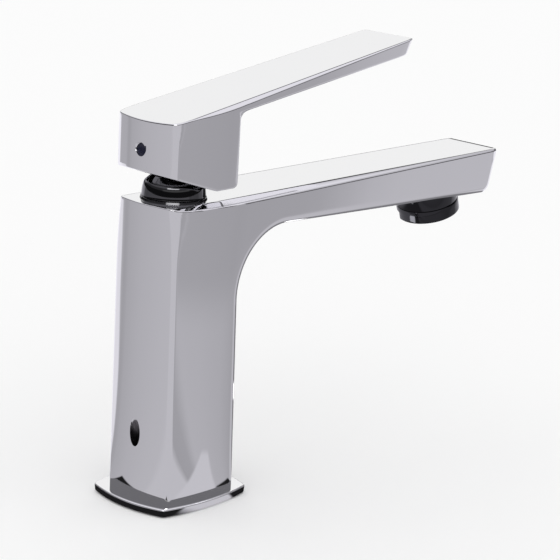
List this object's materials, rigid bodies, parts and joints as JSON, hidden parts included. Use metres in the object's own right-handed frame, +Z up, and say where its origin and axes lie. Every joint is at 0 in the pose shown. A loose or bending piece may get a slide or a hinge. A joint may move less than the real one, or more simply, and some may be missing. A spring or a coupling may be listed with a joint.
{
  "type": "basin mixer tap",
  "caption": "Square chromed single lever basin mixer with a tall column, a long flat spout, a tilted aerator and a rising lever.",
  "frame": {"origin": "middle of the base plate on the counter, at the underside of the base gasket", "axes": "+X towards the spout's tip, +Y to the left of someone who looks along +X, +Z up"},
  "size_m": [0.2027, 0.0454, 0.172],
  "materials": {
    "chrome": "polished",
    "dark_chrome": "polished",
    "rubber": "matte",
    "plastic": "matte",
    "ceramic": "lapped",
    "steel": "machined",
    "brass": "machined",
    "plug": "gloss"
  },
  "bodies": {
    "tap_body": {"body_casting": "chrome", "base_plate": "chrome", "base_gasket": "rubber", "cartridge_base": "plastic", "inlet_seals": "rubber", "base_seal": "rubber", "housing_seal": "rubber", "fixed_disc": "ceramic", "cartridge_housing": "plastic", "limit_ring": "plastic", "cartridge_nut": "brass", "cartridge_dome": "dark_chrome", "aerator_bezel": "dark_chrome", "aerator_insert": "plastic", "aerator_screen": "steel", "aerator_washer": "rubber"},
    "rotor": {"rotor": "plastic", "rotor_seal": "rubber", "pivot_pin": "steel"},
    "lever": {"lever_handle": "chrome", "stem": "steel", "grub_screw": "steel", "screw_plug": "plug"},
    "disc": {"moving_disc": "ceramic", "disc_driver": "plastic"}
  },
  "joints": [
    {"name": "temperature_turn", "type": "hinge", "parent": "tap_body", "child": "rotor", "pos_m": [-0.0035, 0, 0.114], "axis": [0, 0, 1], "range_deg": [-45, 45]},
    {"name": "flow_lift", "type": "hinge", "parent": "rotor", "child": "lever", "pos_m": [-0.0035, 0, 0.114], "axis": [0, -1, 0], "range_deg": [0, 25]},
    {"name": "disc_slide", "type": "slide", "parent": "rotor", "child": "disc", "axis": [1, 0, 0], "range_m": [0, 0.00519]}
  ],
  "couplings": [
    {"joint": "disc_slide", "follows": "flow_lift", "m_per_rad": 0.011905}
  ]
}
